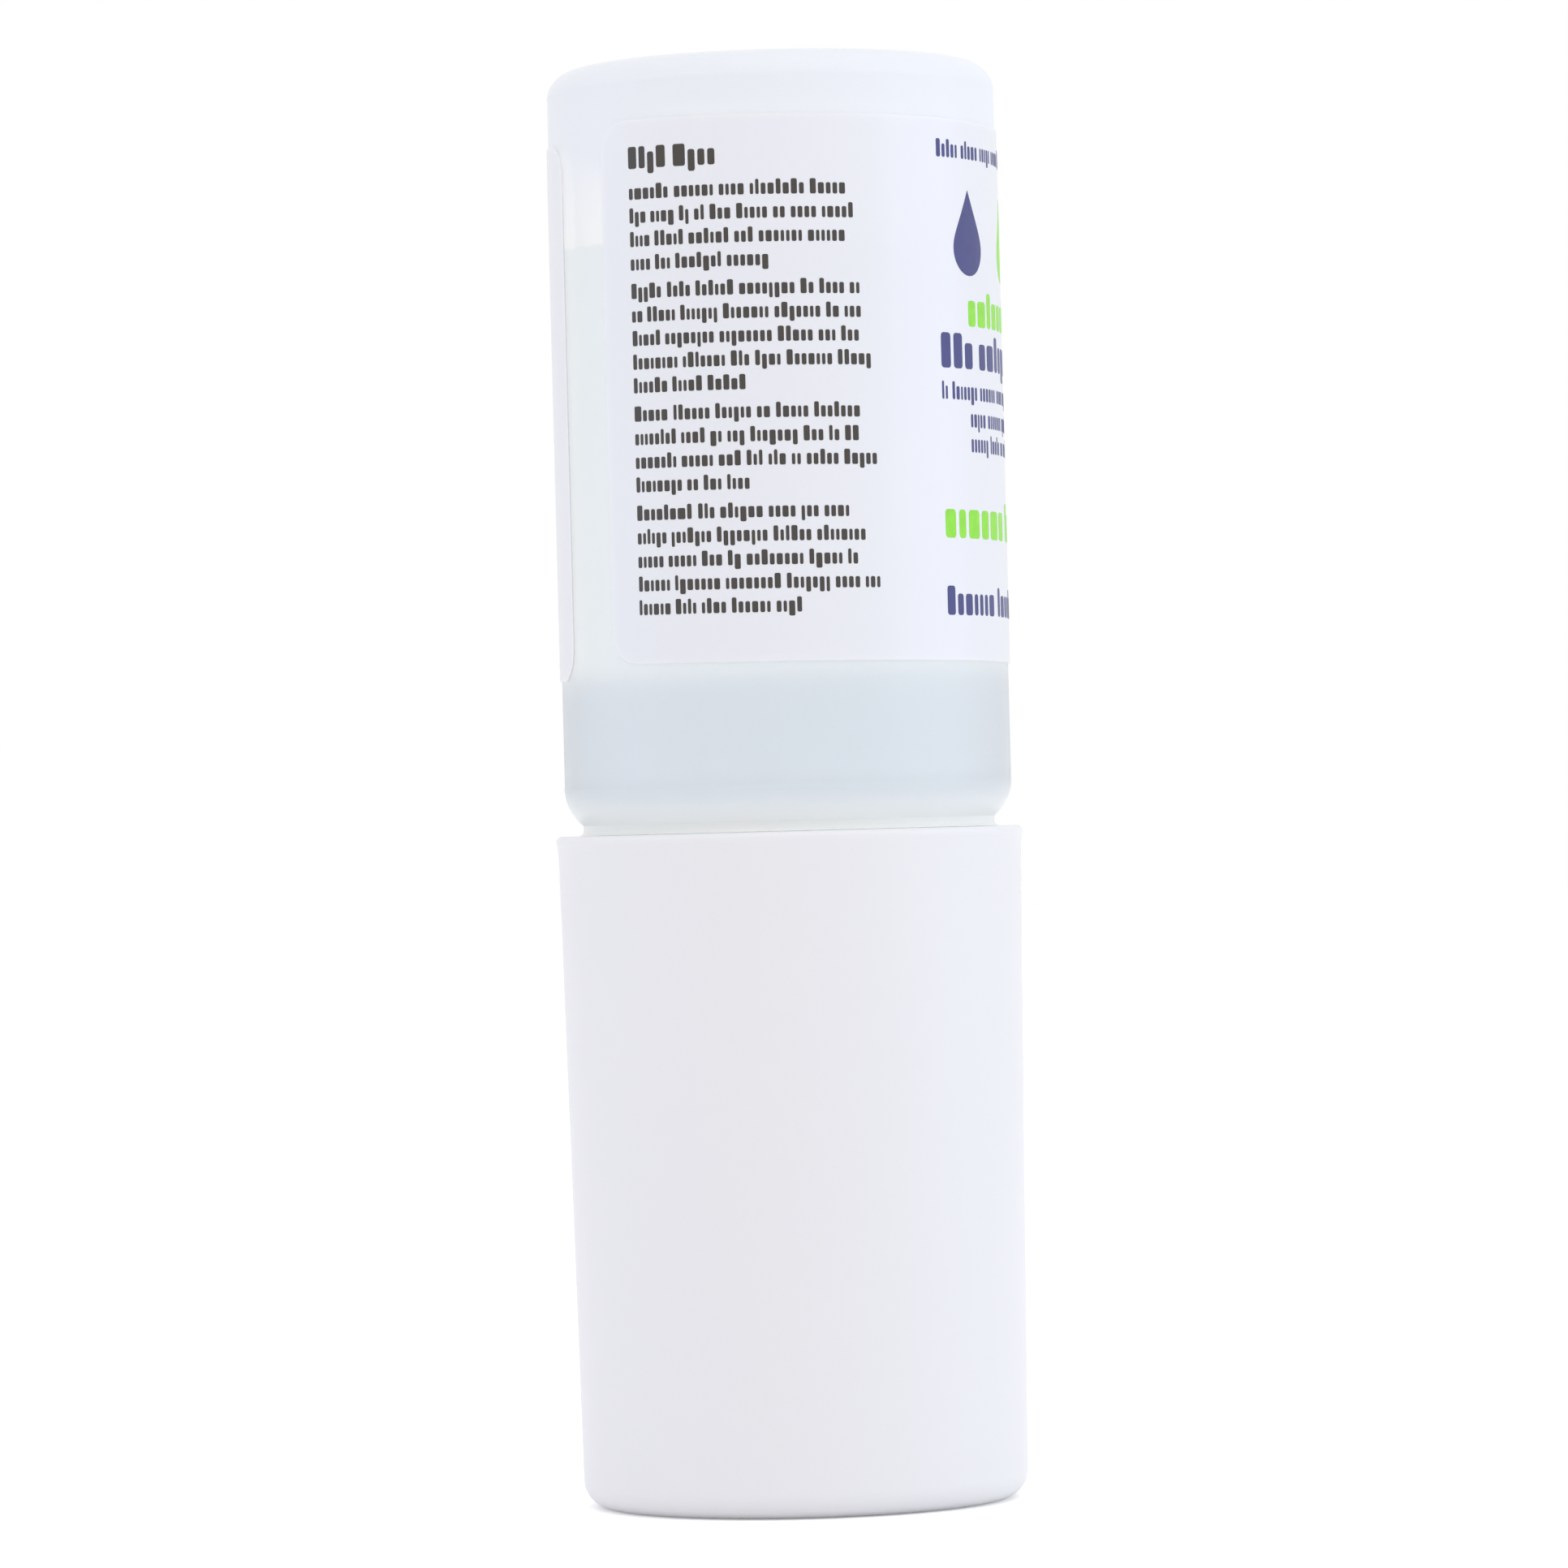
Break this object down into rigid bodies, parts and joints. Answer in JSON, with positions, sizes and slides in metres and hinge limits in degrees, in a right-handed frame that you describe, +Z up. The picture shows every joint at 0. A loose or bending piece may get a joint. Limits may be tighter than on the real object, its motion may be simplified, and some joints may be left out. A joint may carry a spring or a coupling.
{
  "type": "eye drop bottle",
  "caption": "Round squeeze bottle with a snap-in dropper tip and a wrap label, standing base up on its tall tapered screw cap with a threaded inner cap.",
  "frame": {"origin": "centre of the closed end of the cap, on the surface that the object stands on", "axes": "+Z up along the common axis of cap and bottle, from the cap's closed end to the bottle's base; -Y is the side towards the picture's camera, +X is to its right"},
  "size_m": [0.0264, 0.0264, 0.0813],
  "materials": {
    "cap_white": "satin",
    "inner_cap_white": "satin",
    "bottle_natural": "semi-gloss",
    "tip_natural": "semi-gloss",
    "label_film": "satin",
    "eye_drops": "clear liquid"
  },
  "bodies": {
    "cap": {"cap_shell": "cap_white", "inner_cap": "inner_cap_white"},
    "contents": {"liquid": "eye_drops"},
    "bottle": {"bottle": "bottle_natural", "dropper_tip": "tip_natural", "label": "label_film"}
  },
  "joints": [
    {"name": "bottle_lift", "type": "slide", "parent": "cap", "child": "contents", "axis": [0, 0, 1], "range_m": [0, 0.04]},
    {"name": "bottle_turn", "type": "hinge", "parent": "contents", "child": "bottle", "pos_m": [0, 0, 0.06], "axis": [0, 0, 1], "range_deg": [0, 720]}
  ]
}
